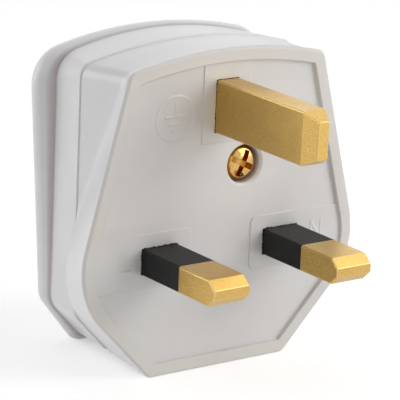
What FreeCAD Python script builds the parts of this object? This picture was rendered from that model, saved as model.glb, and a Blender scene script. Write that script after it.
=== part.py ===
"""Rewirable three pin mains plug, as a parametric document.

X runs to the right as the pins are looked at, Y from the socket face into the plug, and Z up from
the live and neutral pins to the earth pin. The origin is the middle of the live and neutral row,
on the plane of the rim that meets the socket. Lengths are in millimetres, angles in degrees.
"""
import FreeCAD, Part
import math
import os
import re

import Sketcher

Vector = FreeCAD.Vector
EDGE_SEARCH = 0.001
BEAD_STEPS = 3
COLLAR_STEPS = 3
DOME_STEPS = 2

SIZES = {
    # Pins: rectangular bars in the standard pattern
    "pin_pitch": 22.23,
    "earth_rise": 22.23,
    "earth_width": 4.0,
    "earth_height": 8.0,
    "earth_reach": 22.73,
    "earth_tip": 2.4,
    "earth_taper": 1.16,
    "line_width": 6.35,
    "line_height": 4.0,
    "line_reach": 17.7,
    "line_tip": 1.4,
    "line_taper": 1.29,
    "sleeve_reach": 9.0,
    "sleeve_wall": 0.5,
    "pin_bevel": 0.2,
    "slot_play": 0.05,
    # Face of the base: a shield with a domed top, leaning sides and a sloping foot
    "crown_margin": 8.77,
    "face_crown": 72.0,
    "side_margin": 14.155,
    "face_lean": 14.73,
    "face_drop": 18.35,
    "face_toe": 12.58,
    "foot_slope": 46.8,
    "face_corner": 1.8,
    "face_bulge": 12.7,
    "face_heel": 1.8,
    "rim_width": 2.1,
    "rim_height": 0.58,
    "rim_corner": 0.4,
    "rim_bulge": 10.0,
    "rim_bevel": 0.35,
    # Base behind the face: the shield drafts inward on to a straight sided core
    "base_depth": 10.4,
    "side_draft": 4.65,
    "top_draft": 2.6,
    "foot_draft": 0.7,
    "valley_round": 3.0,
    "core_start": 0.4,
    "core_margin": 6.385,
    "core_stand": 0.380048,
    "core_flare": 1.8,
    "core_dip_front": 0.15,
    "core_dip": 0.45,
    "core_crown": 70.0,
    "core_corner": 2.2,
    "cavity_corner": 2.2,
    "core_inset": 1.6,
    "plate_depth": 2.3,
    "heel_rise": 1.0,
    "wall_gauge": 1.8,
    "floor_level": 4.5,
    # Panels round the pins, a hair proud of the face
    "panel_lift": 0.12,
    "panel_inner": 5.5,
    "panel_half": 4.2,
    "panel_corner": 1.0,
    "band_half": 4.3,
    "band_low": 16.6,
    # Cover: a wall that draws in to a waist and flares to a rounded grip lip
    "cover_depth": 12.4,
    "waist_depth": 8.5,
    "waist_draw": 1.28,
    "waist_dip": 0.34,
    "waist_corner": 4.6,
    "lip_depth": 10.2,
    "cover_proud": 0.2,
    "cover_rise": 1.35,
    "cover_toe": 13.2,
    "lip_spread": 0.15,
    "lip_lean": -3.8,
    "lip_dip": 0.2,
    "lip_crown": 67.0,
    "lip_toe": 12.86,
    "lip_slope": 51.8,
    "lip_corner": 6.0,
    "lip_bulge": 4.0,
    "lip_heel": 2.2,
    "back_inset": 1.7,
    "parting_bevel": 0.25,
    "back_gauge": 2.2,
    # Cover screw, its washer and the nut moulded into the cover
    "screw_across": 3.9,
    "screw_up": 12.65,
    "screw_seat": 3.0,
    "bore_bevel": 0.35,
    "screw_head": 5.5,
    "screw_head_depth": 2.0,
    "screw_dome": 0.9,
    "screw_crown": 1.5,
    "screw_shank": 3.0,
    "screw_length": 11.5,
    "screw_play": 0.25,
    "screw_turn": 25.0,
    "drive_span": 4.2,
    "drive_slot": 0.9,
    "drive_depth": 1.1,
    "pillar_wall": 1.6,
    "pillar_top": 7.4,
    "washer_gauge": 0.8,
    "washer_width": 5.6,
    "nut_width": 5.2,
    "nut_length": 7.0,
    # Terminals
    "roof_gap": 0.3,
    "terminal_width": 7.6,
    "terminal_height": 9.4,
    "terminal_top": 13.4,
    "wire_bore": 3.4,
    "wire_level": 9.0,
    "clamp_shank": 3.4,
    "clamp_length": 4.0,
    "clamp_head": 5.2,
    "clamp_head_depth": 2.0,
    "clamp_slot": 0.8,
    "clamp_slot_depth": 0.9,
    "thread_play": 0.05,
    # Fuse and the clips that hold it on the live side
    "fuse_length": 25.4,
    "fuse_width": 6.35,
    "fuse_tube_width": 5.7,
    "fuse_bore": 3.4,
    "fuse_cap_length": 5.8,
    "fuse_cap_gauge": 0.6,
    "fuse_gap": 0.4,
    "fuse_strand": 0.6,
    "clip_gauge": 0.6,
    "clip_width": 4.6,
    "clip_inset": 1.4,
    "clip_mouth": 5.2,
    "clip_foot": 6.4,
    "clip_margin": 0.6,
    "clip_play": 0.05,
    "rivet_width": 2.4,
    "live_head_gauge": 2.1,
    # Cord inlet and cord grip
    "inlet_width": 8.6,
    "grip_half_pitch": 7.6,
    "grip_rise": 6.95,
    "grip_post": 5.6,
    "grip_level": 12.2,
    "grip_bar_end": 3.2,
    "grip_bar_height": 5.6,
    "grip_bar_gauge": 3.0,
    "grip_arch": 1.2,
    "grip_saddle": 1.4,
    "grip_screw_head": 4.8,
    "grip_screw_head_depth": 1.8,
    "grip_screw_shank": 2.6,
    "grip_screw_length": 8.0,
}

doc = FreeCAD.newDocument("plug")
sheet = doc.addObject("Spreadsheet::Sheet", "Sizes")
for row, (alias, size) in enumerate(SIZES.items(), start=1):
    sheet.set(f"A{row}", str(size))
    sheet.setAlias(f"A{row}", alias)
doc.recompute()


def bound(text):
    """Expression on the sheet: every word with an underscore in it is a size's alias."""
    return re.sub(r"\b[a-z]+(?:_[a-z]+)+\b", lambda word: "Sizes." + word.group(), text)


def number(text):
    """Value that an expression on the sheet has now."""
    return float(sheet.evalExpression(bound(text)))


def new_body(label):
    body = doc.addObject("PartDesign::Body", label)
    body.Label = label
    return body


def place(body, across="0", depth="0", up="0"):
    """Bind a body's place to the sheet."""
    for axis, text in zip("xyz", (across, depth, up)):
        body.setExpression(f"Placement.Base.{axis}", bound(text))
    return body


def origin_plane(body, role):
    return next(feature for feature in body.Origin.OriginFeatures if feature.Role == role)


def new_sketch(body, name, role, offset="0"):
    """Sketch on one of the body's own planes; XZ_Plane looks along -Y, so its offset is -depth."""
    sketch = body.newObject("Sketcher::SketchObject", name)
    sketch.AttachmentSupport = (origin_plane(body, role), [""])
    sketch.MapMode = "FlatFace"
    sketch.setExpression("AttachmentOffset.Base.z", bound(offset))
    return sketch


def face_sketch(body, name, depth="0"):
    """Sketch across the plug at a depth behind the rim; its axes are X and Z."""
    return new_sketch(body, name, "XZ_Plane", f"-({depth})")


def bind(sketch, kind, *where, to):
    """Add a dimension and bind it to an expression on the sheet."""
    unit = " * 1 deg" if kind == "Angle" else ""
    value = math.radians(number(to)) if unit else number(to)
    index = sketch.addConstraint(Sketcher.Constraint(kind, *where, value))
    sketch.setExpression(f"Constraints[{index}]", f"({bound(to)}){unit}")


def polygon(sketch, corners):
    """Closed outline whose corners are pairs of expressions."""
    points = [Vector(number(across), number(up), 0) for across, up in corners]
    first = sketch.GeometryCount
    count = len(points)
    for index, point in enumerate(points):
        sketch.addGeometry(Part.LineSegment(point, points[(index + 1) % count]))
    for index, (across, up) in enumerate(corners):
        line = first + index
        following = first + (index + 1) % count
        sketch.addConstraint(Sketcher.Constraint("Coincident", line, 2, following, 1))
        bind(sketch, "DistanceX", -1, 1, line, 1, to=across)
        bind(sketch, "DistanceY", -1, 1, line, 1, to=up)
    return sketch


def rectangle(sketch, across, up, width, height):
    """Rectangle about a centre."""
    left = f"({across}) - ({width}) / 2"
    right = f"({across}) + ({width}) / 2"
    low = f"({up}) - ({height}) / 2"
    high = f"({up}) + ({height}) / 2"
    return polygon(sketch, [(left, low), (right, low), (right, high), (left, high)])


def bevelled(sketch, width, height):
    """Rectangle about the origin with the bevelled corners of a pin."""
    side, top = f"({width}) / 2", f"({height}) / 2"
    return polygon(sketch, [
        (f"pin_bevel - {side}", f"-{top}"),
        (f"{side} - pin_bevel", f"-{top}"),
        (side, f"pin_bevel - {top}"),
        (side, f"{top} - pin_bevel"),
        (f"{side} - pin_bevel", top),
        (f"pin_bevel - {side}", top),
        (f"-{side}", f"{top} - pin_bevel"),
        (f"-{side}", f"pin_bevel - {top}"),
    ])


def circle(sketch, across, up, width):
    """Circle about a centre, by its diameter."""
    centre = Vector(number(across), number(up), 0)
    line = sketch.addGeometry(Part.Circle(centre, Vector(0, 0, 1), number(width) / 2))
    bind(sketch, "Diameter", line, to=width)
    bind(sketch, "DistanceX", -1, 1, line, 3, to=across)
    bind(sketch, "DistanceY", -1, 1, line, 3, to=up)
    return sketch


def pad(body, sketch, length, reverse=False):
    """Grow a sketch along its normal, or against it."""
    feature = body.newObject("PartDesign::Pad", sketch.Name + "_pad")
    feature.Profile = sketch
    feature.setExpression("Length", bound(length))
    feature.Reversed = reverse
    return feature


def pocket(body, sketch, length, reverse=False):
    """Cut a sketch against its normal, or along it."""
    feature = body.newObject("PartDesign::Pocket", sketch.Name + "_pocket")
    feature.Profile = sketch
    feature.setExpression("Length", bound(length))
    feature.Reversed = reverse
    return feature


def loft(body, name, sketches):
    """Solid with straight rulings from each sketch to the next."""
    feature = body.newObject("PartDesign::AdditiveLoft", name)
    feature.Profile = sketches[0]
    feature.Sections = sketches[1:]
    feature.Ruled = True
    return feature


def revolve(body, sketch):
    """Turn a half profile round its sketch's upright axis."""
    feature = body.newObject("PartDesign::Revolution", sketch.Name + "_turned")
    feature.Profile = sketch
    feature.ReferenceAxis = (sketch, ["V_Axis"])
    feature.Angle = 360
    return feature


def mirror(body, features):
    """Repeat one half of the body on the other side of the plug's middle plane."""
    feature = body.newObject("PartDesign::Mirrored", body.Name + "_mirrored")
    feature.Originals = features
    feature.MirrorPlane = (origin_plane(body, "YZ_Plane"), [""])
    body.Tip = feature
    return feature


def round_off(body, radius, chosen):
    """Round the edges of the body as it stands that a test chooses."""
    doc.recompute()
    base = body.Tip
    names = [f"Edge{index}" for index, edge in enumerate(base.Shape.Edges, start=1) if chosen(edge)]
    feature = body.newObject("PartDesign::Fillet", body.Name + "_round")
    feature.Base = (base, names)
    feature.setExpression("Radius", bound(radius))
    return feature


def bevel(body, size, chosen):
    """Bevel the edges of the body as it stands that a test chooses."""
    doc.recompute()
    base = body.Tip
    names = [f"Edge{index}" for index, edge in enumerate(base.Shape.Edges, start=1) if chosen(edge)]
    feature = body.newObject("PartDesign::Chamfer", body.Name + "_bevel")
    feature.Base = (base, names)
    feature.setExpression("Size", bound(size))
    return feature


def at_depth(depth):
    """Test for edges that lie across the plug at one depth."""
    level = number(depth)

    def lies_there(edge):
        box = edge.BoundBox
        return abs(box.YMin - level) < EDGE_SEARCH and abs(box.YMax - level) < EDGE_SEARCH
    return lies_there


def in_valley(edge):
    """Test for the long edges where the shield's sides run into the core's."""
    box = edge.BoundBox
    return box.YLength > number("base_depth / 2") and box.ZLength > number("base_depth")


def at_panel_corner(edge):
    """Test for the short upright edges at a panel's inner corners."""
    box = edge.BoundBox
    upright = box.YLength > number("panel_lift / 2") and box.DiagonalLength < number("2 * panel_lift")
    return upright and abs(abs(box.Center.x) - number("panel_inner")) < EDGE_SEARCH


def at_bore_mouth(edge):
    """Test for the mouth of the screw's counterbore."""
    wide = number("screw_head + 2 * screw_play")
    return at_depth("rim_height")(edge) and abs(edge.BoundBox.XLength - wide) < EDGE_SEARCH


def meet(normal_a, reach_a, normal_b, reach_b):
    """Point where two lines cross, each given by its outward normal and its reach along it."""
    across = normal_a.x * normal_b.y - normal_a.y * normal_b.x
    first = (reach_a * normal_b.y - reach_b * normal_a.y) / across
    second = (normal_a.x * reach_b - normal_b.x * reach_a) / across
    return Vector(first, second, 0)


def arc_between(centre, start, end):
    """Arc about a centre, anticlockwise from one point to another."""
    from_centre = start - centre
    to_centre = end - centre
    ring = Part.Circle(centre, Vector(0, 0, 1), from_centre.Length)
    first = math.atan2(from_centre.y, from_centre.x)
    last = math.atan2(to_centre.y, to_centre.x)
    return Part.ArcOfCircle(ring, first, last)


def half_outline(body, name, depth, outline):
    """Right half of the plug's outline at a depth, as a closed and fully bound sketch.

    A domed top, a side that leans in by an angle, a slope down to the toe and a level foot, with
    tangent arcs between them. The half width is the side's at the origin's height, and the toe is
    the corner where the slope would meet the foot.
    """
    sketch = face_sketch(body, name, depth)
    size = {key: number(text) for key, text in outline.items()}
    lean = math.radians(size["lean"])
    slope = math.radians(size["slope"])
    side_normal = Vector(math.cos(lean), math.sin(lean), 0)
    slope_normal = Vector(math.sin(slope), -math.cos(slope), 0)
    foot_normal = Vector(0, -1, 0)
    side_reach = size["half"] * side_normal.x
    toe = Vector(size["toe"], -size["drop"], 0)
    slope_reach = toe.dot(slope_normal)

    crown_centre = Vector(0, size["apex"] - size["crown"], 0)
    corner_reach = side_reach - size["corner"]
    nearest = crown_centre + side_normal * (corner_reach - side_normal.dot(crown_centre))
    rise = math.sqrt((size["crown"] - size["corner"]) ** 2 - (nearest - crown_centre).Length ** 2)
    corner_centre = nearest + Vector(-side_normal.y, side_normal.x, 0) * rise
    outward = (corner_centre - crown_centre).normalize()
    crown_end = crown_centre + outward * size["crown"]
    corner_end = corner_centre + side_normal * size["corner"]

    bulge = size["bulge"]
    bulge_centre = meet(side_normal, side_reach - bulge, slope_normal, slope_reach - bulge)
    heel = size["heel"]
    heel_centre = meet(slope_normal, slope_reach - heel, foot_normal, size["drop"] - heel)
    bulge_top = bulge_centre + side_normal * bulge
    bulge_low = bulge_centre + slope_normal * bulge
    heel_top = heel_centre + slope_normal * heel
    heel_low = heel_centre + foot_normal * heel
    apex = Vector(0, size["apex"], 0)
    foot = Vector(0, -size["drop"], 0)

    pieces = [
        arc_between(crown_centre, crown_end, apex),
        arc_between(corner_centre, corner_end, crown_end),
        Part.LineSegment(bulge_top, corner_end),
        arc_between(bulge_centre, bulge_low, bulge_top),
        Part.LineSegment(heel_top, bulge_low),
        arc_between(heel_centre, heel_low, heel_top),
        Part.LineSegment(foot, heel_low),
        Part.LineSegment(apex, foot),
    ]
    crown, corner, side, swell, sloped, heel_arc, floor, middle = range(len(pieces))
    for piece in pieces:
        sketch.addGeometry(piece)
    side_mark = sketch.addGeometry(Part.Point(Vector(size["half"], 0, 0)), True)
    toe_mark = sketch.addGeometry(Part.Point(toe), True)
    for upper, lower in zip(range(crown, floor), range(corner, middle)):
        sketch.addConstraint(Sketcher.Constraint("Tangent", upper, 1, lower, 2))
    for joined in [(floor, 1, middle, 2), (middle, 1, crown, 2)]:
        sketch.addConstraint(Sketcher.Constraint("Coincident", *joined))
    for held in [(middle, 1, -2), (middle, 2, -2), (crown, 3, -2), (side_mark, 1, side),
                 (side_mark, 1, -1), (toe_mark, 1, sloped), (toe_mark, 1, floor)]:
        sketch.addConstraint(Sketcher.Constraint("PointOnObject", *held))
    sketch.addConstraint(Sketcher.Constraint("Horizontal", floor))
    bind(sketch, "Radius", crown, to=outline["crown"])
    bind(sketch, "Radius", corner, to=outline["corner"])
    bind(sketch, "Radius", swell, to=outline["bulge"])
    bind(sketch, "Radius", heel_arc, to=outline["heel"])
    bind(sketch, "DistanceY", -1, 1, middle, 1, to=outline["apex"])
    bind(sketch, "DistanceY", middle, 2, -1, 1, to=outline["drop"])
    bind(sketch, "DistanceX", -1, 1, side_mark, 1, to=outline["half"])
    bind(sketch, "DistanceX", -1, 1, toe_mark, 1, to=outline["toe"])
    bind(sketch, "Angle", side, to=f"90 + {outline['lean']}")
    bind(sketch, "Angle", sloped, to=outline["slope"])
    return sketch


def kindred_crown(outline, half, corner):
    """Crown that meets a corner at the angle at which the given outline's crown meets its own."""
    reach = f"({outline['crown']} - {outline['corner']}) / ({outline['half']} - {outline['corner']})"
    return f"({corner} + ({half} - {corner}) * {reach})"


def between(first, last, share):
    """Outline part of the way from one outline to another."""
    return {key: f"({first[key]}) + (({last[key]}) - ({first[key]})) * {share}" for key in first}


def inset(outline, gap, **changes):
    """The same outline moved inward by a gap all round, its corners tightened with it."""
    moved = dict(outline)
    moved["half"] = f"{outline['half']} - ({gap}) / cos({outline['lean']})"
    moved["apex"] = f"{outline['apex']} - ({gap})"
    moved["crown"] = f"{outline['crown']} - ({gap})"
    moved["drop"] = f"{outline['drop']} - ({gap})"
    moved["toe"] = f"{outline['toe']} - ({gap}) * tan(({outline['slope']}) / 2)"
    for rounded in ("corner", "bulge", "heel"):
        moved[rounded] = f"{outline[rounded]} - ({gap})"
    moved.update(changes)
    return moved


FACE_APEX = "(earth_rise + crown_margin)"
FACE_HALF = "(pin_pitch / 2 + side_margin)"
CORE_HALF = "(pin_pitch / 2 + core_margin)"
FACE_SHOULDER = f"({FACE_HALF} - {FACE_APEX} * tan(face_lean))"
CORE_LEAN = f"(atan(({CORE_HALF} - core_stand - {FACE_SHOULDER}) / {FACE_APEX}) / (1 deg))"
PILLAR_WIDTH = "(nut_width + 2 * pillar_wall)"
GRIP_UP = "(grip_rise - face_drop)"

FACE = {
    "apex": FACE_APEX, "crown": "face_crown", "half": FACE_HALF, "lean": "face_lean",
    "drop": "face_drop", "toe": "face_toe", "slope": "foot_slope",
    "corner": "face_corner", "bulge": "face_bulge", "heel": "face_heel",
}
SKIRT = dict(
    FACE, apex=f"{FACE_APEX} - top_draft", half=f"{FACE_HALF} - side_draft",
    toe="face_toe - foot_draft / sin(foot_slope)",
)
CORE_BACK = dict(
    FACE, apex=f"{FACE_APEX} - core_dip", crown="core_crown", half=f"{CORE_HALF} + core_flare",
    lean=CORE_LEAN, drop="face_drop - core_inset", toe="face_toe - core_inset",
    corner="core_corner", bulge="face_bulge / 3",
)
CORE_FRONT = dict(
    CORE_BACK, half=CORE_HALF, apex=f"{FACE_APEX} - core_dip_front",
    crown=kindred_crown(CORE_BACK, CORE_HALF, "core_corner"),
)
CAVITY = dict(
    inset(CORE_FRONT, "wall_gauge"), drop="face_drop - heel_rise - wall_gauge",
    toe="face_toe - core_inset - wall_gauge", corner="cavity_corner",
    bulge="face_bulge / 3", heel="face_heel",
)
WALL = dict(
    CORE_BACK, apex=f"{CORE_BACK['apex']} + cover_proud", half=f"{CORE_BACK['half']} + cover_proud",
    drop="face_drop - cover_rise", toe="cover_toe",
)
LIP = {
    "apex": f"({FACE_APEX} - lip_dip)", "crown": "lip_crown",
    "half": f"({CORE_HALF} + core_flare + lip_spread)", "lean": "lip_lean",
    "drop": "face_drop", "toe": "lip_toe", "slope": "lip_slope",
    "corner": "lip_corner", "bulge": "lip_bulge", "heel": "lip_heel",
}
WAIST_HALF = f"({WALL['half']} - waist_draw)"
WAIST = dict(
    WALL, half=WAIST_HALF, apex=f"{WALL['apex']} - waist_dip", corner="waist_corner",
    crown=kindred_crown(WALL, WAIST_HALF, "waist_corner"), toe="cover_toe - waist_draw / 2",
)
COVER_CAVITY = inset(
    WAIST, "wall_gauge", corner="lip_corner / 2", bulge="lip_bulge / 2", heel="lip_heel / 2",
)


# The fuse's axis lies above the live pin's head by its clip, and its upper end follows from the
# cover's roof, under which the live terminal's pillar stands
FUSE_DEPTH = "floor_level + live_head_gauge + clip_gauge + clip_play + fuse_width / 2"
ROOF_CROWN = f"({COVER_CAVITY['crown']})"
ROOF_SAG = f"({ROOF_CROWN} - sqrt({ROOF_CROWN}^2 - ((pin_pitch + terminal_width) / 2)^2))"
PILLAR_HIGH = f"({COVER_CAVITY['apex']} - {ROOF_SAG} - roof_gap)"
PILLAR_LOW = f"({PILLAR_HIGH} - clamp_head - thread_play)"
LIVE_CLAMP = f"(({PILLAR_HIGH} + {PILLAR_LOW}) / 2)"
FUSE_HIGH = f"({PILLAR_LOW} - fuse_gap)"
FUSE_LOW = f"({FUSE_HIGH} - fuse_length)"
LOW_CLIP = f"({FUSE_LOW} + clip_inset + clip_width / 2)"
HIGH_CLIP = f"({FUSE_HIGH} - clip_inset - clip_width / 2)"


def build_base():
    """Base moulding: rimmed face, drafted shield, open back, pin slots, pillar, posts and inlet."""
    body = new_body("base")
    shield = loft(body, "shield", [
        half_outline(body, "shield_face", "0", inset(FACE, "rim_bevel")),
        half_outline(body, "shield_rim", "rim_bevel", FACE),
        half_outline(body, "shield_back", "base_depth", SKIRT),
    ])
    core = loft(body, "core", [
        half_outline(body, "core_face", "core_start", CORE_FRONT),
        half_outline(body, "core_back", "base_depth", CORE_BACK),
    ])
    mirror(body, [shield, core])
    round_off(body, "valley_round", in_valley)
    recess_outline = inset(FACE, "rim_width", corner="rim_corner", bulge="rim_bulge", heel="rim_corner")
    recess = pocket(body, half_outline(body, "recess", "0", recess_outline), "rim_height")
    cavity = pocket(body, half_outline(body, "cavity", "floor_level", CAVITY), "base_depth - floor_level")
    mirror(body, [recess, cavity])

    heel = face_sketch(body, "heel", "plate_depth")
    rectangle(heel, "0", "-face_drop", "2 * face_toe + 4 * heel_rise", "2 * heel_rise")
    pocket(body, heel, "base_depth")

    for name, side in (("live_panel", "-1"), ("neutral_panel", "1")):
        panel = face_sketch(body, name, "rim_height")
        rim_side = f"({FACE_HALF} - rim_width)"
        polygon(panel, [
            (f"{side} * panel_inner", "-panel_half"),
            (f"{side} * {rim_side}", "-panel_half"),
            (f"{side} * {rim_side}", "panel_half"),
            (f"{side} * panel_inner", "panel_half"),
        ])
        pad(body, panel, "panel_lift")
    round_off(body, "panel_corner", at_panel_corner)
    band = face_sketch(body, "earth_panel", "rim_height")
    polygon(band, [
        ("-band_half", "band_low"),
        ("band_half", "band_low"),
        ("band_half", f"{FACE_APEX} - rim_width"),
        ("-band_half", f"{FACE_APEX} - rim_width"),
    ])
    pad(body, band, "panel_lift")

    pillar = circle(face_sketch(body, "pillar", "floor_level"), "screw_across", "screw_up", PILLAR_WIDTH)
    pad(body, pillar, "pillar_top - floor_level", reverse=True)
    posts = face_sketch(body, "posts", "floor_level")
    for side in ("-grip_half_pitch", "grip_half_pitch"):
        circle(posts, side, GRIP_UP, "grip_post")
    pad(body, posts, "grip_level - floor_level", reverse=True)
    saddle = face_sketch(body, "saddle", "floor_level")
    rectangle(saddle, "0", GRIP_UP, "2 * grip_half_pitch", "grip_bar_height / 2")
    pad(body, saddle, "grip_saddle", reverse=True)

    earth_slot = face_sketch(body, "earth_slot")
    rectangle(earth_slot, "0", "earth_rise", "earth_width + 2 * slot_play", "earth_height + 2 * slot_play")
    pocket(body, earth_slot, "floor_level")
    for name, across in (("live_slot", "-pin_pitch / 2"), ("neutral_slot", "pin_pitch / 2")):
        slot = face_sketch(body, name)
        rectangle(slot, across, "0", "line_width + 2 * slot_play", "line_height + 2 * slot_play")
        pocket(body, slot, "floor_level")

    counterbore = face_sketch(body, "counterbore")
    circle(counterbore, "screw_across", "screw_up", "screw_head + 2 * screw_play")
    pocket(body, counterbore, "screw_seat")
    bevel(body, "bore_bevel", at_bore_mouth)
    clearance = face_sketch(body, "clearance")
    circle(clearance, "screw_across", "screw_up", "screw_shank + 2 * screw_play")
    pocket(body, clearance, "pillar_top")
    washer_seat = face_sketch(body, "washer_seat", "pillar_top - washer_gauge")
    circle(washer_seat, "screw_across", "screw_up", "washer_width + 2 * screw_play")
    pocket(body, washer_seat, "washer_gauge")
    pilots = face_sketch(body, "pilots", "grip_level - grip_screw_length + grip_bar_gauge")
    for side in ("-grip_half_pitch", "grip_half_pitch"):
        circle(pilots, side, GRIP_UP, "grip_screw_shank + 2 * thread_play")
    pocket(body, pilots, "grip_screw_length")
    cut_inlet(body)
    return body


def cut_inlet(body):
    """Round cord inlet through the foot, half in each moulding, centred on the parting plane."""
    inlet = new_sketch(body, body.Name + "_inlet", "XY_Plane", "-(face_drop + wall_gauge)")
    circle(inlet, "0", "base_depth", "inlet_width")
    pocket(body, inlet, "2 * wall_gauge + heel_rise + wall_gauge", reverse=True)


def build_cover():
    """Cover moulding: waisted shell with a grip lip, a pillar for the nut and its half of the inlet."""
    body = new_body("cover")
    stations = [
        ("parting", "base_depth", inset(WALL, "parting_bevel")),
        ("wall_front", "base_depth + parting_bevel / 2", WALL),
        ("waist", "base_depth + waist_depth", WAIST),
    ]
    for step in range(1, BEAD_STEPS + 1):
        turn = f"90 * {step} / {BEAD_STEPS}"
        depth = f"base_depth + waist_depth + (lip_depth - waist_depth) * (1 - cos({turn}))"
        stations.append((f"bead_{step}", depth, between(WAIST, LIP, f"sin({turn})")))
    for step in range(1, COLLAR_STEPS + 1):
        turn = f"90 * {step} / {COLLAR_STEPS}"
        depth = f"base_depth + lip_depth + (cover_depth - lip_depth) * sin({turn})"
        stations.append((f"collar_{step}", depth, inset(LIP, f"back_inset * (1 - cos({turn}))")))
    mirror(body, [loft(body, "shell", [half_outline(body, *station) for station in stations])])
    cavity = half_outline(body, "cover_cavity", "base_depth", COVER_CAVITY)
    mirror(body, [pocket(body, cavity, "cover_depth - back_gauge")])
    inside = "base_depth + cover_depth - back_gauge"
    boss = circle(face_sketch(body, "boss", "pillar_top"), "screw_across", "screw_up", PILLAR_WIDTH)
    pad(body, boss, f"{inside} - pillar_top", reverse=True)
    nut_seat = face_sketch(body, "nut_seat", "pillar_top")
    circle(nut_seat, "screw_across", "screw_up", "nut_width")
    pocket(body, nut_seat, "nut_length")
    screw_way = face_sketch(body, "screw_way", "pillar_top")
    circle(screw_way, "screw_across", "screw_up", "screw_shank + 2 * screw_play")
    pocket(body, screw_way, "screw_seat + screw_length + 2 * screw_play - pillar_top")
    cut_inlet(body)
    return body


def pin_bar(body, width, height, reach, tip, taper_across, taper_up):
    """Bar through the base with a tapered end."""
    bar = bevelled(face_sketch(body, "bar", "floor_level"), width, height)
    pad(body, bar, f"floor_level + {reach} - {tip}")
    full = bevelled(face_sketch(body, "tip_start", f"{tip} - {reach}"), width, height)
    end = face_sketch(body, "tip_end", f"-{reach}")
    bevelled(end, f"{width} - 2 * {taper_across}", f"{height} - 2 * {taper_up}")
    loft(body, "tip", [full, end])


def pillar_terminal(body):
    """Block on a pin's inner end, bored along Z for the wire and from the back for its screw."""
    block = rectangle(face_sketch(body, "block", "floor_level"), "0", "0",
                      "terminal_width", "terminal_height")
    pad(body, block, "terminal_top - floor_level", reverse=True)
    wire = new_sketch(body, "wire", "XY_Plane", "terminal_height / 2")
    pocket(body, circle(wire, "0", "wire_level", "wire_bore"), "terminal_height")
    tapping = face_sketch(body, "tapping", "terminal_top")
    circle(tapping, "0", "0", "clamp_shank + 2 * thread_play")
    pocket(body, tapping, "terminal_top - wire_level", reverse=True)


def neck(body):
    """Draw the bar in where the sleeve is moulded round it."""
    ring = face_sketch(body, "neck", "-sleeve_reach")
    rectangle(ring, "0", "0", "line_width + 2 * sleeve_wall", "line_height + 2 * sleeve_wall")
    rectangle(ring, "0", "0", "line_width - 2 * sleeve_wall", "line_height - 2 * sleeve_wall")
    pocket(body, ring, "sleeve_reach + floor_level")


def build_earth_pin():
    body = new_body("earth_pin")
    pin_bar(body, "earth_width", "earth_height", "earth_reach", "earth_tip", "earth_taper", "earth_taper")
    pillar_terminal(body)
    return place(body, up="earth_rise")


def build_neutral_pin():
    body = new_body("neutral_pin")
    pin_bar(body, "line_width", "line_height", "line_reach", "line_tip", "0", "line_taper")
    neck(body)
    pillar_terminal(body)
    return place(body, across="pin_pitch / 2")


def build_live_pin():
    """Live pin: a flat head with a rivet that holds the fuse clip."""
    body = new_body("live_pin")
    pin_bar(body, "line_width", "line_height", "line_reach", "line_tip", "0", "line_taper")
    neck(body)
    head_low = f"min({LOW_CLIP} - clip_width / 2 - clip_margin, -terminal_height / 2)"
    head_high = f"max({LOW_CLIP} + clip_width / 2 + clip_margin, terminal_height / 2)"
    head = polygon(face_sketch(body, "head", "floor_level"), [
        ("-terminal_width / 2", head_low),
        ("terminal_width / 2", head_low),
        ("terminal_width / 2", head_high),
        ("-terminal_width / 2", head_high),
    ])
    pad(body, head, "live_head_gauge", reverse=True)
    rivet = circle(face_sketch(body, "rivet", "floor_level"), "0", LOW_CLIP, "rivet_width")
    pad(body, rivet, "live_head_gauge + clip_gauge", reverse=True)
    return place(body, across="-pin_pitch / 2")


def build_sleeve(label, across):
    body = new_body(label)
    ring = face_sketch(body, "ring", "-sleeve_reach")
    bevelled(ring, "line_width", "line_height")
    rectangle(ring, "0", "0", "line_width - 2 * sleeve_wall", "line_height - 2 * sleeve_wall")
    pad(body, ring, "sleeve_reach + floor_level", reverse=True)
    return place(body, across=across)


def build_live_terminal():
    """Live terminal: a plate under the upper clip and a pillar that takes the wire from the side."""
    body = new_body("live_terminal")
    plate_low = f"{HIGH_CLIP} - clip_width / 2 - clip_margin"
    plate = face_sketch(body, "plate", "floor_level")
    polygon(plate, [
        ("-terminal_width / 2", plate_low),
        ("terminal_width / 2", plate_low),
        ("terminal_width / 2", PILLAR_HIGH),
        ("-terminal_width / 2", PILLAR_HIGH),
    ])
    pad(body, plate, "live_head_gauge", reverse=True)
    block = face_sketch(body, "block", "floor_level")
    polygon(block, [
        ("-terminal_width / 2", PILLAR_LOW),
        ("terminal_width / 2", PILLAR_LOW),
        ("terminal_width / 2", PILLAR_HIGH),
        ("-terminal_width / 2", PILLAR_HIGH),
    ])
    pad(body, block, "terminal_top - floor_level", reverse=True)
    rivet = circle(face_sketch(body, "rivet", "floor_level"), "0", HIGH_CLIP, "rivet_width")
    pad(body, rivet, "live_head_gauge + clip_gauge", reverse=True)
    wire = new_sketch(body, "wire", "YZ_Plane", "terminal_width / 2")
    pocket(body, circle(wire, "wire_level", LIVE_CLAMP, "wire_bore"), "terminal_width")
    tapping = face_sketch(body, "tapping", "terminal_top")
    circle(tapping, "0", LIVE_CLAMP, "clamp_shank + 2 * thread_play")
    pocket(body, tapping, "terminal_top - wire_level", reverse=True)
    return place(body, across="-pin_pitch / 2")


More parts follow.
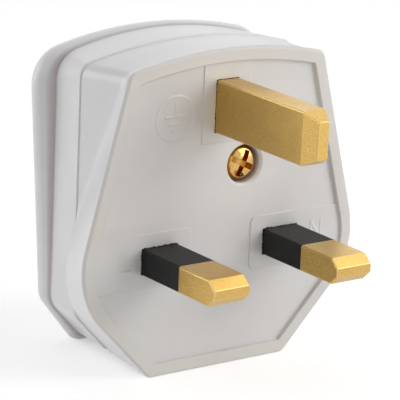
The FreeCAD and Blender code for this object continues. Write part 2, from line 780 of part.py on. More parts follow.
def build_clip(label, up):
    """Spring clip: an open ring on a flat foot with a hole for its rivet, about the fuse's axis."""
    body = new_body(label)
    bore = "fuse_width + 2 * clip_play"
    outside = f"{bore} + 2 * clip_gauge"
    ring = new_sketch(body, "ring", "XY_Plane", "-clip_width / 2")
    circle(ring, "0", "0", outside)
    circle(ring, "0", "0", bore)
    pad(body, ring, "clip_width")
    foot = new_sketch(body, "foot", "XY_Plane", "-clip_width / 2")
    rectangle(foot, "0", f"clip_gauge / 2 - ({outside}) / 2", "clip_foot", "clip_gauge")
    pad(body, foot, "clip_width")
    mouth = new_sketch(body, "mouth", "XY_Plane", "clip_width / 2")
    rectangle(mouth, "0", "fuse_width / 2", "clip_mouth", "fuse_width")
    pocket(body, mouth, "clip_width")
    hole = face_sketch(body, "hole", f"-({outside}) / 2")
    pocket(body, circle(hole, "0", "0", "rivet_width + 2 * thread_play"), "2 * clip_gauge")
    return place(body, "-pin_pitch / 2", FUSE_DEPTH, up)


def build_fuse_tube():
    body = new_body("fuse_tube")
    ring = new_sketch(body, "ring", "XY_Plane", f"{FUSE_LOW} + fuse_cap_gauge")
    circle(ring, "0", "0", "fuse_tube_width")
    circle(ring, "0", "0", "fuse_bore")
    pad(body, ring, "fuse_length - 2 * fuse_cap_gauge")
    return place(body, "-pin_pitch / 2", FUSE_DEPTH)


def build_fuse_wire():
    body = new_body("fuse_wire")
    strand = new_sketch(body, "strand", "XY_Plane", f"{FUSE_LOW} + fuse_cap_gauge")
    circle(strand, "0", "0", "fuse_strand")
    pad(body, strand, "fuse_length - 2 * fuse_cap_gauge")
    return place(body, "-pin_pitch / 2", FUSE_DEPTH)


def build_fuse_cap(label, closed, opened):
    """Cap on the end of the fuse, given the heights of its closed end and its open one."""
    body = new_body(label)
    inner = "fuse_tube_width / 2 + thread_play"
    shelf = f"({closed}) + fuse_cap_gauge * (({opened}) - ({closed})) / fuse_cap_length"
    profile = polygon(new_sketch(body, "profile", "XZ_Plane"), [
        ("0", closed),
        ("fuse_width / 2", closed),
        ("fuse_width / 2", opened),
        (inner, opened),
        (inner, shelf),
        ("0", shelf),
    ])
    revolve(body, profile)
    return place(body, "-pin_pitch / 2", FUSE_DEPTH)


def turned_screw(body, head, head_depth, shank, length, rim):
    """Screw about Y: its head's seat at the origin, its shank behind, and the profile of its rim."""
    profile = polygon(new_sketch(body, "profile", "XY_Plane"), [
        ("0", f"-({head_depth})"),
        *rim,
        (f"({head}) / 2", "0"),
        (f"({shank}) / 2", "0"),
        (f"({shank}) / 2", length),
        ("0", length),
    ])
    revolve(body, profile)


def build_cover_screw():
    """Cover screw with a crossed drive in its domed head."""
    body = new_body("cover_screw")
    turns = [f"90 * {step} / {DOME_STEPS}" for step in range(DOME_STEPS + 1)]
    rim = [
        (
            f"screw_head / 2 - screw_crown * (1 - sin({turn}))",
            f"screw_dome * (1 - cos({turn})) - screw_head_depth",
        )
        for turn in turns
    ]
    turned_screw(body, "screw_head", "screw_head_depth", "screw_shank", "screw_length", rim)
    arm = "drive_span / 2"
    slot = "drive_slot / 2"
    drive = face_sketch(body, "drive", "-screw_head_depth")
    polygon(drive, [
        (f"-{arm}", f"-{slot}"), (f"-{slot}", f"-{slot}"), (f"-{slot}", f"-{arm}"),
        (slot, f"-{arm}"), (slot, f"-{slot}"), (arm, f"-{slot}"),
        (arm, slot), (slot, slot), (slot, arm),
        (f"-{slot}", arm), (f"-{slot}", slot), (f"-{arm}", slot),
    ])
    pocket(body, drive, "drive_depth")
    body.Placement.Rotation = FreeCAD.Rotation(Vector(0, 1, 0), number("screw_turn"))
    return place(body, "screw_across", "screw_seat", "screw_up")


def build_ring(label, depth, length, outside, bore):
    """Washer or nut on the cover screw's axis."""
    body = new_body(label)
    ring = face_sketch(body, "ring")
    circle(ring, "0", "0", outside)
    circle(ring, "0", "0", bore)
    pad(body, ring, length, reverse=True)
    return place(body, "screw_across", depth, "screw_up")


def slotted_screw(label, head, head_depth, shank, length, across, depth, up):
    """Cheese head screw driven from the back, with a slot across its head."""
    body = new_body(label)
    rim = [(f"({head}) / 2", f"-({head_depth})")]
    turned_screw(body, head, head_depth, shank, length, rim)
    slot = face_sketch(body, "slot", f"-({head_depth})")
    rectangle(slot, "0", "0", f"{head} + clamp_slot", "clamp_slot")
    pocket(body, slot, "clamp_slot_depth")
    body.Placement.Rotation = FreeCAD.Rotation(Vector(0, 0, 1), 180)
    return place(body, across, depth, up)


def group(label, bodies):
    """Several like pieces as one node of separate solids."""
    node = doc.addObject("Part::Compound", label)
    node.Label = label
    node.Links = bodies
    return node


def build_terminal_screws():
    places = {
        "earth_clamp": ("0", "earth_rise"),
        "neutral_clamp": ("pin_pitch / 2", "0"),
        "live_clamp": ("-pin_pitch / 2", LIVE_CLAMP),
    }
    return group("terminal_screws", [
        slotted_screw(name, "clamp_head", "clamp_head_depth", "clamp_shank", "clamp_length",
                      across, "terminal_top", up)
        for name, (across, up) in places.items()
    ])


def build_grip_bar():
    """Cord grip: a bar across two posts, arched over the cord."""
    body = new_body("cord_grip_bar")
    bar_length = "2 * (grip_half_pitch + grip_bar_end)"
    bar = rectangle(face_sketch(body, "bar"), "0", "0", bar_length, "grip_bar_height")
    pad(body, bar, "grip_bar_gauge", reverse=True)
    arch = new_sketch(body, "arch", "XY_Plane", "grip_bar_height / 2")
    polygon(arch, [
        ("-inlet_width / 2", "0"),
        ("inlet_width / 2", "0"),
        ("inlet_width / 4", "grip_arch"),
        ("-inlet_width / 4", "grip_arch"),
    ])
    pocket(body, arch, "grip_bar_height")
    holes = face_sketch(body, "holes")
    for side in ("-grip_half_pitch", "grip_half_pitch"):
        circle(holes, side, "0", "grip_screw_shank + 2 * screw_play")
    pocket(body, holes, "grip_bar_gauge")
    return place(body, depth="grip_level", up=GRIP_UP)


def build_grip_screws():
    return group("cord_grip_screws", [
        slotted_screw(name, "grip_screw_head", "grip_screw_head_depth", "grip_screw_shank",
                      "grip_screw_length", across, "grip_level + grip_bar_gauge", GRIP_UP)
        for name, across in (
            ("grip_screw_left", "-grip_half_pitch"),
            ("grip_screw_right", "grip_half_pitch"),
        )
    ])


nodes = [
    build_base(),
    build_cover(),
    build_earth_pin(),
    build_neutral_pin(),
    build_live_pin(),
    build_sleeve("neutral_sleeve", "pin_pitch / 2"),
    build_sleeve("live_sleeve", "-pin_pitch / 2"),
    build_live_terminal(),
    build_clip("pin_fuse_clip", LOW_CLIP),
    build_clip("terminal_fuse_clip", HIGH_CLIP),
    build_fuse_tube(),
    build_fuse_wire(),
    build_fuse_cap("lower_fuse_cap", FUSE_LOW, f"{FUSE_LOW} + fuse_cap_length"),
    build_fuse_cap("upper_fuse_cap", FUSE_HIGH, f"{FUSE_HIGH} - fuse_cap_length"),
    build_cover_screw(),
    build_ring("screw_washer", "pillar_top - washer_gauge", "washer_gauge", "washer_width",
               "screw_shank + 2 * thread_play"),
    build_ring("cover_nut", "pillar_top", "nut_length", "nut_width", "screw_shank + 2 * thread_play"),
    build_terminal_screws(),
    build_grip_bar(),
    build_grip_screws(),
]
doc.recompute()

for item in doc.Objects:
    if "Invalid" in item.State or "Error" in item.State:
        raise RuntimeError(f"{item.Name} failed: {item.State} {item.getStatusString()}")
for node in nodes:
    if node.Shape.isNull() or not node.Shape.isValid():
        raise RuntimeError(f"{node.Label} has no valid shape")

os.makedirs("parts", exist_ok=True)
for node in nodes:
    node.Shape.exportStep(f"parts/{node.Label}.step")
    print(f"{node.Label}: {len(node.Shape.Solids)} solid, {node.Shape.Volume:.1f} mm3")
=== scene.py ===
"""Looks of the three pin mains plug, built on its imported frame. Metres, in the frame's own axes."""

import math
import random

import bmesh
import bpy
from mathutils import Matrix, Vector
from mathutils.bvhtree import BVHTree


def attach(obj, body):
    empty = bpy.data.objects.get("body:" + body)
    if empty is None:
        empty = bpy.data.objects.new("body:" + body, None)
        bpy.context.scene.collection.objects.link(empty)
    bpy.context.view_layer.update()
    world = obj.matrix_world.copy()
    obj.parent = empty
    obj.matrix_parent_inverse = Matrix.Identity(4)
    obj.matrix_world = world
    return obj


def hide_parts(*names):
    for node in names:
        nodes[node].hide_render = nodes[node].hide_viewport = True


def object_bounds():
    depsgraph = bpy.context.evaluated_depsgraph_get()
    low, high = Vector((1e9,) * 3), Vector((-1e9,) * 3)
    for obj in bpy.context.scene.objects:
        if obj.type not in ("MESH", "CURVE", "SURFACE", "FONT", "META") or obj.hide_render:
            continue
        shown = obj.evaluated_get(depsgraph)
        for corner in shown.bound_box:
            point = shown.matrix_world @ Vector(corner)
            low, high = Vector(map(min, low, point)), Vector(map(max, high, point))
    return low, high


# Sizes on the plug and the camera's place are in millimetres, and MM turns them into metres.
# The floor and the lights are in metres.
MM = 0.001
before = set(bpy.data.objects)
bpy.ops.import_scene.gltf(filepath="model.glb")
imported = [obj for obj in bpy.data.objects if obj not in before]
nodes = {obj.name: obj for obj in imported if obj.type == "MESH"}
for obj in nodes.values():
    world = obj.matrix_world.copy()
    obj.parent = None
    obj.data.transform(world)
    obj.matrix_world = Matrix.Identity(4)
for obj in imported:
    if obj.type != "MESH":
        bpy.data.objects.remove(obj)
cad_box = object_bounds()


# Materials

EDGE_SAMPLES = 6
HOLLOW_SAMPLES = 8
HOLLOW_REACH = 1.0
RELIEF_DEPTH = 0.1
COAT_ROUGHNESS = 0.12
# Likeness of the eased normal to the surface's own, where wear begins and where it is full
WEAR_BEGINS, WEAR_FULL = 0.995, 0.93
# Openness of a spot, where the painted shade of a hollow begins and where it is full
HOLLOW_BEGINS, HOLLOW_FULL = 0.92, 0.62
# Noise scales, per metre
CLOUD_SCALE = 120.0
PLASTIC_GLOSS_SCALE = 60.0
METAL_GLOSS_SCALE = 420.0
# Places of a mix node's colour sockets, whose names it shares with sockets of other kinds
MIX_SHARE, MIX_FIRST, MIX_SECOND, MIX_RESULT = 0, 6, 7, 2


def new_material(name):
    """Empty node material with one principled shader; gives the material, its tree and the shader."""
    material = bpy.data.materials.new(name)
    material.use_nodes = True
    tree = material.node_tree
    tree.nodes.clear()
    output = tree.nodes.new("ShaderNodeOutputMaterial")
    shader = tree.nodes.new("ShaderNodeBsdfPrincipled")
    tree.links.new(shader.outputs["BSDF"], output.inputs["Surface"])
    return material, tree, shader


def object_point(tree, scale=(1.0, 1.0, 1.0)):
    """Object coordinates, scaled along each axis."""
    coordinates = tree.nodes.new("ShaderNodeTexCoord")
    mapping = tree.nodes.new("ShaderNodeMapping")
    mapping.inputs["Scale"].default_value = scale
    tree.links.new(coordinates.outputs["Object"], mapping.inputs["Vector"])
    return mapping.outputs["Vector"]


def noise(tree, vector, scale, detail=4.0, roughness=0.5):
    """Noise texture on a vector; gives its value."""
    texture = tree.nodes.new("ShaderNodeTexNoise")
    texture.inputs["Scale"].default_value = scale
    texture.inputs["Detail"].default_value = detail
    texture.inputs["Roughness"].default_value = roughness
    tree.links.new(vector, texture.inputs["Vector"])
    return texture.outputs["Fac"]


def ramp(tree, value, stops):
    """Colour ramp over a value, from (position, colour) pairs."""
    node = tree.nodes.new("ShaderNodeValToRGB")
    elements = node.color_ramp.elements
    while len(elements) < len(stops):
        elements.new(0.5)
    for element, (position, colour) in zip(elements, stops):
        element.position = position
        element.color = (*colour, 1.0)
    tree.links.new(value, node.inputs["Fac"])
    return node.outputs["Color"]


def mixed(tree, share, colour, other):
    """Colour that gives way to a second one by a share."""
    node = tree.nodes.new("ShaderNodeMix")
    node.data_type = "RGBA"
    tree.links.new(share, node.inputs[MIX_SHARE])
    tree.links.new(colour, node.inputs[MIX_FIRST])
    node.inputs[MIX_SECOND].default_value = (*other, 1.0)
    return node.outputs[MIX_RESULT]


def span(tree, value, low, high):
    """Value from 0 to 1 spread between two numbers."""
    node = tree.nodes.new("ShaderNodeMapRange")
    node.inputs["To Min"].default_value = low
    node.inputs["To Max"].default_value = high
    tree.links.new(value, node.inputs["Value"])
    return node.outputs["Result"]


def share_between(tree, value, begins, full, blend="LINEAR"):
    """Share that is 0 where a value begins to count and 1 where it is full."""
    node = tree.nodes.new("ShaderNodeMapRange")
    node.interpolation_type = blend
    node.inputs["From Min"].default_value = begins
    node.inputs["From Max"].default_value = full
    tree.links.new(value, node.inputs["Value"])
    return node.outputs["Result"]


def calculated(tree, operation, first, second=None):
    """Value of a math node; the second input is a number or, like the first, the output of a node."""
    node = tree.nodes.new("ShaderNodeMath")
    node.operation = operation
    tree.links.new(first, node.inputs[0])
    if isinstance(second, bpy.types.NodeSocket):
        tree.links.new(second, node.inputs[1])
    elif second is not None:
        node.inputs[1].default_value = second
    return node.outputs["Value"]


def eased_normal(tree, edge):
    """Normal that turns smoothly over edges, within a radius."""
    eased = tree.nodes.new("ShaderNodeBevel")
    eased.samples = EDGE_SAMPLES
    eased.inputs["Radius"].default_value = edge * MM
    return eased.outputs["Normal"]


def worn_edge(tree, normal, colour, bright):
    """Colour that turns to a brighter one where the eased normal leaves the surface's own."""
    surface = tree.nodes.new("ShaderNodeNewGeometry")
    likeness = tree.nodes.new("ShaderNodeVectorMath")
    likeness.operation = "DOT_PRODUCT"
    tree.links.new(normal, likeness.inputs[0])
    tree.links.new(surface.outputs["Normal"], likeness.inputs[1])
    wear = share_between(tree, likeness.outputs["Value"], WEAR_BEGINS, WEAR_FULL)
    return mixed(tree, wear, colour, bright)


def painted_hollow_shade(tree, colour, dark):
    """Painted shade: colour that turns to a darker one inside narrow hollows."""
    openness = tree.nodes.new("ShaderNodeAmbientOcclusion")
    openness.samples = HOLLOW_SAMPLES
    openness.inputs["Distance"].default_value = HOLLOW_REACH * MM
    depth = share_between(tree, openness.outputs["AO"], HOLLOW_BEGINS, HOLLOW_FULL)
    return mixed(tree, depth, colour, dark)


def bump(tree, shader, height, strength, normal):
    """Small surface relief from a value, over a given normal."""
    node = tree.nodes.new("ShaderNodeBump")
    node.inputs["Strength"].default_value = strength
    node.inputs["Distance"].default_value = RELIEF_DEPTH * MM
    tree.links.new(height, node.inputs["Height"])
    tree.links.new(normal, node.inputs["Normal"])
    tree.links.new(node.outputs["Normal"], shader.inputs["Normal"])


def band(tree, point, place, core, fade):
    """Share that is full within a distance of a place along Y and fades out from there."""
    parts = tree.nodes.new("ShaderNodeSeparateXYZ")
    tree.links.new(point, parts.inputs["Vector"])
    offset = calculated(tree, "SUBTRACT", parts.outputs["Y"], place * MM)
    distance = calculated(tree, "ABSOLUTE", offset)
    return share_between(tree, distance, (core + fade) * MM, core * MM, "SMOOTHSTEP")


def plastic(name, dark, pale, rough, coat=0.0, grain=900.0, relief=0.03, edge=0.05, shine=0.5, bands=()):
    """Moulded plastic: faint clouding, uneven gloss, a fine grain and bands along Y of another tint or of
    painted shade.
    """
    material, tree, shader = new_material(name)
    point = object_point(tree)
    cloud = noise(tree, point, CLOUD_SCALE, detail=3.0, roughness=0.55)
    colour = ramp(tree, cloud, [(0.3, dark), (0.7, pale)])
    for stripe in bands:
        share = band(tree, point, stripe["place"], stripe["core"], stripe["fade"])
        colour = mixed(tree, share, colour, stripe["tint"])
    tree.links.new(colour, shader.inputs["Base Color"])
    gloss = noise(tree, point, PLASTIC_GLOSS_SCALE, detail=1.0)
    tree.links.new(span(tree, gloss, *rough), shader.inputs["Roughness"])
    shader.inputs["Specular IOR Level"].default_value = shine
    shader.inputs["Coat Weight"].default_value = coat
    shader.inputs["Coat Roughness"].default_value = COAT_ROUGHNESS
    bump(tree, shader, noise(tree, point, grain, detail=2.0), relief, eased_normal(tree, edge))
    return material


def metal(name, stops, rough, scale=(1.0, 1.0, 1.0), grain=900.0, relief=0.08, edge=0.05, bright=None,
          hollow_shade_colour=None):
    """Metal with a fine grain, longer along an axis of small scale, and a slow change of gloss. With their
    colours given, its edges are worn bright and its hollows are darkened with painted shade."""
    material, tree, shader = new_material(name)
    lines = noise(tree, object_point(tree, scale), grain, detail=4.0, roughness=0.65)
    normal = eased_normal(tree, edge)
    colour = ramp(tree, lines, stops)
    if bright:
        colour = worn_edge(tree, normal, colour, bright)
    if hollow_shade_colour:
        colour = painted_hollow_shade(tree, colour, hollow_shade_colour)
    tree.links.new(colour, shader.inputs["Base Color"])
    gloss = noise(tree, object_point(tree), METAL_GLOSS_SCALE, detail=2.0)
    tree.links.new(span(tree, gloss, *rough), shader.inputs["Roughness"])
    shader.inputs["Metallic"].default_value = 1.0
    bump(tree, shader, lines, relief, normal)
    return material


# The face's rim stands at Y = 0. The groove in front of the lip lies a little before the cover's back.
GROOVE_BEFORE_BACK = 4.05
cover_back = cad_box[1][1] / MM
rim_warmth = {"place": 0.0, "core": 0.15, "fade": 0.4, "tint": (0.785, 0.765, 0.735)}
groove_place = cover_back - GROOVE_BEFORE_BACK
# Painted shade: a greyer band round the groove in front of the lip, where shade falls
groove_painted_shade = {"place": groove_place, "core": 0.1, "fade": 0.5, "tint": (0.60, 0.55, 0.545)}

white = plastic(
    "white_moulding",
    dark=(0.775, 0.765, 0.765),
    pale=(0.805, 0.797, 0.797),
    rough=(0.28, 0.36),
    coat=0.15,
    grain=250.0,
    edge=0.22,
    bands=(rim_warmth, groove_painted_shade),
)
brass = metal(
    "pin_brass",
    stops=[(0.25, (0.45, 0.285, 0.08)), (0.5, (0.57, 0.37, 0.11)), (0.75, (0.70, 0.50, 0.18))],
    rough=(0.24, 0.44),
    scale=(1.0, 0.25, 1.0),
    grain=8000.0,
    relief=0.045,
    edge=0.12,
    bright=(0.90, 0.70, 0.34),
)
black = plastic(
    "sleeve_black",
    dark=(0.002, 0.002, 0.002),
    pale=(0.015, 0.015, 0.014),
    rough=(0.42, 0.62),
    grain=3600.0,
    relief=1.0,
    shine=0.22,
)
bronze = metal("spring_bronze", [(0.3, (0.45, 0.25, 0.12)), (0.7, (0.62, 0.38, 0.20))], (0.25, 0.4))
ceramic = plastic("fuse_ceramic", (0.60, 0.53, 0.42), (0.70, 0.63, 0.52), (0.35, 0.5))
plated = metal("fuse_plated", [(0.3, (0.55, 0.55, 0.53)), (0.7, (0.72, 0.72, 0.70))], (0.2, 0.35))
# Painted shade: the screw's drive recess darkens to brown inside its hollows
gilt = metal(
    "screw_yellow",
    stops=[(0.3, (0.56, 0.32, 0.09)), (0.7, (0.68, 0.45, 0.18))],
    rough=(0.06, 0.14),
    hollow_shade_colour=(0.36, 0.15, 0.015),
)
zinc = metal("screw_zinc", [(0.3, (0.42, 0.42, 0.42)), (0.7, (0.60, 0.60, 0.60))], (0.25, 0.4))
nylon = plastic("grip_plastic", (0.55, 0.55, 0.54), (0.64, 0.64, 0.63), (0.4, 0.55))
fibre = plastic("washer_fibre", (0.22, 0.10, 0.05), (0.32, 0.16, 0.09), (0.55, 0.75))

FINISHES = {
    "base": white, "cover": white, "earth_pin": brass, "neutral_pin": brass, "live_pin": brass,
    "neutral_sleeve": black, "live_sleeve": black, "live_terminal": brass, "pin_fuse_clip": bronze,
    "terminal_fuse_clip": bronze, "fuse_tube": ceramic, "fuse_wire": plated, "lower_fuse_cap": plated,
    "upper_fuse_cap": plated, "cover_screw": gilt, "screw_washer": fibre, "cover_nut": brass,
    "terminal_screws": zinc, "cord_grip_bar": nylon, "cord_grip_screws": zinc,
}
for node, material in FINISHES.items():
    slots = nodes[node].data.materials
    slots.clear()
    slots.append(material)


# Pieces that stand for the visible solids

WELD_DISTANCE = 0.002
SHORTEST_EDGE = 0.004
# Angles in degrees: faces that turn less are joined, and edges that turn more stay sharp
FLAT_TURN = 0.15
HOUSING_CREASE = 40
PIN_CREASE = 20
SCREW_CREASE = 50


def softened(node, crease):
    """Copy of a solid with clean, smooth curved faces, in the place of that solid."""
    mesh = nodes[node].data.copy()
    piece = bpy.data.objects.new(node + "_finished", mesh)
    bpy.context.scene.collection.objects.link(piece)
    work = bmesh.new()
    work.from_mesh(mesh)
    bmesh.ops.remove_doubles(work, verts=work.verts, dist=WELD_DISTANCE * MM)
    bmesh.ops.dissolve_degenerate(work, edges=work.edges, dist=SHORTEST_EDGE * MM)
    bmesh.ops.dissolve_limit(work, angle_limit=math.radians(FLAT_TURN), verts=work.verts, edges=work.edges)
    work.to_mesh(mesh)
    work.free()
    if "custom_normal" in mesh.attributes:
        mesh.attributes.remove(mesh.attributes["custom_normal"])
    mesh.shade_smooth()
    mesh.set_sharp_from_angle(angle=math.radians(crease))
    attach(piece, "root")
    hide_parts(node)


for half in ("base", "cover"):
    softened(half, HOUSING_CREASE)
for pin in ("earth_pin", "neutral_pin", "live_pin"):
    softened(pin, PIN_CREASE)
for sleeve in ("neutral_sleeve", "live_sleeve"):
    softened(sleeve, PIN_CREASE)
softened("cover_screw", SCREW_CREASE)


# Marks, and painted shadows round the pins' feet, on the face

RAY_START = -50.0
MARK_CREASE = 50
# Shares of a ridge's width and height, from side to side
RIDGE_SECTION = ((-0.5, 0.0), (-0.3, 0.75), (0.0, 1.0), (0.3, 0.75), (0.5, 0.0))

front = nodes["base"]
front_tree = BVHTree.FromPolygons([front.matrix_world @ vert.co for vert in front.data.vertices],
                                  [face.vertices for face in front.data.polygons])


def surface_level(across, up):
    """Depth of the base's front surface at a place."""
    spot = front_tree.ray_cast(Vector((across, RAY_START, up)) * MM, Vector((0.0, 1.0, 0.0)))[0]
    return spot.y / MM


def dressed(name, mesh, material):
    """Piece from a mesh, with its material, on the root."""
    mesh.materials.append(material)
    mesh.shade_smooth()
    mesh.set_sharp_from_angle(angle=math.radians(MARK_CREASE))
    piece = bpy.data.objects.new(name, mesh)
    bpy.context.scene.collection.objects.link(piece)
    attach(piece, "root")


def ridged(name, lines, level, width, height):
    """Low rounded ridges on the face along lines of X and Z points, as one piece; a line that ends where it
    starts is closed."""
    verts, faces = [], []
    for line in lines:
        closed = line[0] == line[-1]
        points = [Vector(point) for point in (line[:-1] if closed else line)]
        rows = []
        for k, point in enumerate(points):
            before = points[k - 1] if closed or k > 0 else point
            after = points[(k + 1) % len(points)] if closed or k + 1 < len(points) else point
            ahead = (after - before).normalized()
            side = Vector((-ahead.y, ahead.x)) * width
            rows.append(range(len(verts), len(verts) + len(RIDGE_SECTION)))
            for offset, rise in RIDGE_SECTION:
                spot = point + side * offset
                verts.append((spot.x * MM, (level - rise * height) * MM, spot.y * MM))
        if closed:
            rows.append(rows[0])
        else:
            faces += [list(rows[0])[::-1], list(rows[-1])]
        for near, far in zip(rows, rows[1:]):
            faces += [(near[j], near[j + 1], far[j + 1], far[j]) for j in range(len(RIDGE_SECTION) - 1)]
    mesh = bpy.data.meshes.new(name)
    mesh.from_pydata(verts, [], faces)
    mesh.validate()
    dressed(name, mesh, white)


LETTER_LOW, LETTER_HIGH = -1.15, 2.0
LETTER_WIDTH = 0.6


def live_letter():
    """L: a stem and a foot, which begins a little left of the stem's middle."""
    stem, foot_begins, foot_ends = -17.95, -18.15, -16.2
    lines = [
        [(stem, LETTER_HIGH), (stem, LETTER_LOW)],
        [(foot_begins, LETTER_LOW), (foot_ends, LETTER_LOW)],
    ]
    beside_stem = (-18.6, 0.4)
    ridged("live_letter", lines, surface_level(*beside_stem), LETTER_WIDTH, height=0.13)


def neutral_letter():
    """N: two stems and the slope between them."""
    left, right = 17.05, 19.0
    lines = [
        [(left, LETTER_LOW), (left, LETTER_HIGH)],
        [(left, LETTER_HIGH), (right, LETTER_LOW)],
        [(right, LETTER_LOW), (right, LETTER_HIGH)],
    ]
    above_letter = (18.0, 3.0)
    ridged("neutral_letter", lines, surface_level(*above_letter), LETTER_WIDTH, height=0.09)


def earth_sign():
    """Earth sign: a ring round a stem and three bars, the lower ones shorter."""
    x, z = -9.1, 21.1
    radius, steps = 3.4, 48
    stem_top = 2.5
    bars = ((1.9, 0.35), (1.25, -0.75), (0.6, -1.85))  # half length and height over the middle
    turns = [math.tau * (step % steps) / steps for step in range(steps + 1)]
    ring = [(x + radius * math.cos(turn), z + radius * math.sin(turn)) for turn in turns]
    stem = [(x, z + bars[0][1]), (x, z + stem_top)]
    lines = [ring, stem] + [[(x - half, z + rise), (x + half, z + rise)] for half, rise in bars]
    below_bars = (x, 19.0)
    ridged("earth_sign", lines, surface_level(*below_bars), width=0.55, height=0.11)


live_letter()
neutral_letter()
earth_sign()

PAINTED_SHADOW_PITCH = 0.22
PAINTED_SHADOW_THICKNESS = 0.03
# Share of the pin's outline at which the plates of a painted shadow begin, inside the pin
PAINTED_SHADOW_INNER = 0.97
SIDE_TOLERANCE = 0.01
SLEEVE_FRINGE, EARTH_FRINGE = 0.22, 0.14
# From a pin's middle up to the spot where the face's level is read
OVER_SLEEVE, UNDER_EARTH = 3.4, -4.83


def pin_outline(pin):
    """Middle and size, in X and Z, of a pin's stretch in front of the face."""
    solid = nodes[pin]
    spots = [solid.matrix_world @ vert.co / MM for vert in solid.data.vertices]
    across = [spot.x for spot in spots if spot.y < 0.0]
    up = [spot.z for spot in spots if spot.y < 0.0]
    middle = ((min(across) + max(across)) / 2, (min(up) + max(up)) / 2)
    return middle, (max(across) - min(across), max(up) - min(up))


def ragged_shadow_plates(middle, size, fringe, seed):
    """Plates of painted shadow from a pin's outline to an uneven line outside it."""
    chance = random.Random(seed)
    x, z = middle
    half_x, half_z = size[0] / 2, size[1] / 2
    corners = [(-half_x, -half_z), (half_x, -half_z), (half_x, half_z), (-half_x, half_z)]
    sides = []
    for (ax, az), (bx, bz) in zip(corners, corners[1:] + corners[:1]):
        count = round(math.hypot(bx - ax, bz - az) / PAINTED_SHADOW_PITCH)
        sides += [(ax + (bx - ax) * k / count, az + (bz - az) * k / count) for k in range(count)]
    inner, outer = [], []
    for px, pz in sides:
        reach = fringe * chance.random() ** 2
        out_x = math.copysign(reach, px) if abs(px) > half_x - SIDE_TOLERANCE else 0.0
        out_z = math.copysign(reach, pz) if abs(pz) > half_z - SIDE_TOLERANCE else 0.0
        inner.append((x + PAINTED_SHADOW_INNER * px, z + PAINTED_SHADOW_INNER * pz))
        outer.append((x + px + out_x, z + pz + out_z))
    return list(zip(inner, inner[1:] + inner[:1], outer[1:] + outer[:1], outer))


def painted_pin_shadow(name, pin, fringe, seed, spot):
    """Painted shadow: a thin dark edge round a pin's foot, as low plates on the face in one piece."""
    middle, size = pin_outline(pin)
    level = surface_level(middle[0], middle[1] + spot) * MM
    work = bmesh.new()
    for outline in ragged_shadow_plates(middle, size, fringe, seed):
        plate = work.faces.new([work.verts.new((x * MM, level, z * MM)) for x, z in outline])
        made = bmesh.ops.extrude_face_region(work, geom=[plate])["geom"]
        moved = [item for item in made if isinstance(item, bmesh.types.BMVert)]
        bmesh.ops.translate(work, verts=moved, vec=(0.0, -PAINTED_SHADOW_THICKNESS * MM, 0.0))
    bmesh.ops.recalc_face_normals(work, faces=work.faces)
    mesh = bpy.data.meshes.new(name)
    work.to_mesh(mesh)
    work.free()
    dressed(name, mesh, black)


# Painted shadows: dark plates where each pin meets the face
painted_pin_shadow("live_painted_shadow", "live_pin", SLEEVE_FRINGE, seed=3, spot=OVER_SLEEVE)
painted_pin_shadow("neutral_painted_shadow", "neutral_pin", SLEEVE_FRINGE, seed=5, spot=OVER_SLEEVE)
painted_pin_shadow("earth_painted_shadow", "earth_pin", EARTH_FRINGE, seed=8, spot=UNDER_EARTH)


# Floor and world

FLOOR_REACH = 3.0
FLOOR_NOISE_SCALE = 3.0
FLOOR_LIFT = 0.41
AMBIENT_GLOW = 0.1


def plain_sight(tree):
    """One for the rays that show the ground as it is: the camera's, and those in gloss and glass."""
    path = tree.nodes.new("ShaderNodeLightPath")
    share = path.outputs["Is Camera Ray"]
    for kind in ("Is Glossy Ray", "Is Transmission Ray"):
        share = calculated(tree, "MAXIMUM", share, path.outputs[kind])
    return share


def floor_finish():
    """Pale matt floor, lifted to white where it is seen; its shadows stay."""
    material, tree, shader = new_material("floor_pale")
    tone = noise(tree, object_point(tree), FLOOR_NOISE_SCALE)
    colour = ramp(tree, tone, [(0.3, (0.93, 0.93, 0.93)), (0.7, (0.95, 0.95, 0.95))])
    tree.links.new(colour, shader.inputs["Base Color"])
    shader.inputs["Roughness"].default_value = 0.9
    lift = tree.nodes.new("ShaderNodeEmission")
    tree.links.new(span(tree, plain_sight(tree), 0.0, FLOOR_LIFT), lift.inputs["Strength"])
    added = tree.nodes.new("ShaderNodeAddShader")
    tree.links.new(shader.outputs["BSDF"], added.inputs[0])
    tree.links.new(lift.outputs["Emission"], added.inputs[1])
    tree.links.new(added.outputs["Shader"], tree.nodes["Material Output"].inputs["Surface"])
    return material


floor_level = cad_box[0][2]
floor_corners = [(-FLOOR_REACH, -FLOOR_REACH), (FLOOR_REACH, -FLOOR_REACH),
                 (FLOOR_REACH, FLOOR_REACH), (-FLOOR_REACH, FLOOR_REACH)]
floor_mesh = bpy.data.meshes.new("floor")
floor_mesh.from_pydata([(x, y, floor_level) for x, y in floor_corners], [], [(0, 1, 2, 3)])
floor_mesh.materials.append(floor_finish())
floor = bpy.data.objects.new("floor", floor_mesh)
bpy.context.scene.collection.objects.link(floor)

world = bpy.data.worlds.new("studio")
bpy.context.scene.world = world
world.use_nodes = True
sky = world.node_tree
seen = sky.nodes["Background"]
seen.inputs["Color"].default_value = (1.0, 1.0, 1.0, 1.0)
seen.inputs["Strength"].default_value = 1.0
glow = sky.nodes.new("ShaderNodeBackground")
glow.inputs["Color"].default_value = (0.97, 0.98, 1.0, 1.0)
glow.inputs["Strength"].default_value = AMBIENT_GLOW
either = sky.nodes.new("ShaderNodeMixShader")
sky.links.new(plain_sight(sky), either.inputs["Fac"])
sky.links.new(glow.outputs["Background"], either.inputs[1])
sky.links.new(seen.outputs["Background"], either.inputs[2])
sky.links.new(either.outputs["Shader"], sky.nodes["World Output"].inputs["Surface"])


# Lights

LIGHT_AIM = Vector((0.0, 0.0, 0.008))
COOL, WARM, PLAIN = (0.975, 0.98, 1.0), (1.0, 0.985, 0.965), (1.0, 1.0, 1.0)


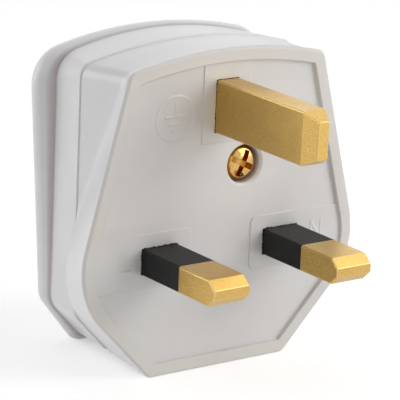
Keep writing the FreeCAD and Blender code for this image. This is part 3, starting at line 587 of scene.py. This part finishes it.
def softbox(name, place, size, power, colour):
    """Area light of a width and a height that looks at the plug; metres and watts."""
    light = bpy.data.lights.new(name, "AREA")
    light.shape = "RECTANGLE"
    light.size, light.size_y = size
    light.energy = power
    light.color = colour
    lamp = bpy.data.objects.new(name, light)
    lamp.location = place
    lamp.rotation_euler = (LIGHT_AIM - Vector(place)).to_track_quat("-Z", "Y").to_euler()
    bpy.context.scene.collection.objects.link(lamp)


softbox("left_light", place=(-0.60, 0.03, 0.12), size=(0.5, 0.5), power=0.76, colour=COOL)
softbox("left_back_light", place=(-0.42, 0.48, 0.12), size=(0.4, 0.5), power=1.55, colour=COOL)
softbox("front_light", place=(-0.46, -0.46, 0.42), size=(0.5, 0.5), power=0.48, colour=WARM)
softbox("key_light", place=(0.38, -0.42, 0.40), size=(0.5, 0.5), power=1.05, colour=WARM)
softbox("top_light", place=(0.14, 0.08, 0.62), size=(0.85, 0.7), power=1.2, colour=COOL)
softbox("right_light", place=(0.48, -0.38, 0.15), size=(0.5, 0.5), power=1.9, colour=WARM)
softbox("back_card", place=(0.45, 0.60, 0.26), size=(0.8, 0.5), power=0.4, colour=PLAIN)


# Camera, as fitted to the photo: angles in degrees, and the focal length in the photo's pixels

AZIMUTH, ELEVATION, ROLL = -36.27, 16.08, 2.49
TARGET = Vector((-4.51, 0.0, 8.35))
DISTANCE = 399.1
FOCAL_PIXELS, PHOTO_PIXELS = 2695.9, 400.0
SENSOR_WIDTH = 36.0

azimuth, elevation, roll = math.radians(AZIMUTH), math.radians(ELEVATION), math.radians(ROLL)
back = Vector((
    math.sin(azimuth) * math.cos(elevation),
    -math.cos(azimuth) * math.cos(elevation),
    math.sin(elevation),
))
level_right = (-back).cross(Vector((0.0, 0.0, 1.0))).normalized()
level_up = level_right.cross(-back)
right = math.cos(roll) * level_right + math.sin(roll) * level_up
up = -math.sin(roll) * level_right + math.cos(roll) * level_up
turned = Matrix((right, up, back)).transposed().to_4x4()

view = bpy.data.cameras.new("camera")
view.sensor_width = SENSOR_WIDTH
view.lens = SENSOR_WIDTH * FOCAL_PIXELS / PHOTO_PIXELS
view.clip_start = 0.01
view.clip_end = 20.0
camera = bpy.data.objects.new("camera", view)
camera.matrix_world = Matrix.Translation((TARGET + back * DISTANCE) * MM) @ turned
bpy.context.scene.collection.objects.link(camera)
bpy.context.scene.camera = camera
bpy.context.scene.view_settings.view_transform = "Standard"
